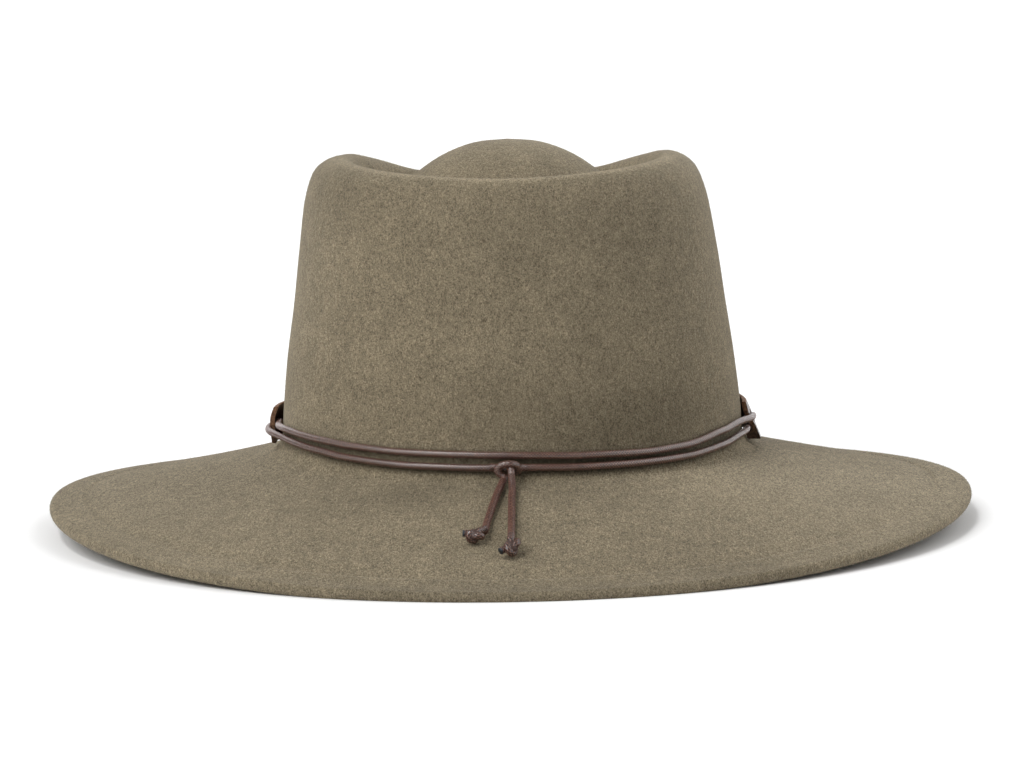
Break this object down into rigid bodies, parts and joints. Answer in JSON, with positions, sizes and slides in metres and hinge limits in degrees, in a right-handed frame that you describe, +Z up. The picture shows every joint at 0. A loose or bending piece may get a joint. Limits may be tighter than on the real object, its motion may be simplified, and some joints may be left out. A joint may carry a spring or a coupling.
{
  "type": "felt hat",
  "caption": "Wide-brimmed felt hat with a telescope crown and a plain leather hatband laced at the back by a waxed cord with knotted tails.",
  "frame": {"origin": "on the surface that the hat rests on, under the centre of the brim's outline", "axes": "+Z up through the crown; -Y towards the back of the hat, where the cord is knotted; +Y towards its front; +X towards the right of the picture"},
  "size_m": [0.348, 0.381, 0.1428],
  "materials": {
    "felt": "matte olive-taupe fur felt with a fine short nap",
    "leather": "plain dark brown strap leather with raw cut edges",
    "waxed_cord": "fine braided cord, waxed and glossy, brown-mauve"
  },
  "bodies": {
    "root": {"felt_body": "felt", "leather_band": "leather", "lacing_cord": "waxed_cord", "lacing_knot": "waxed_cord", "tail_left": "waxed_cord", "tail_right": "waxed_cord", "end_knot_left": "waxed_cord", "end_knot_right": "waxed_cord"}
  },
  "joints": []
}
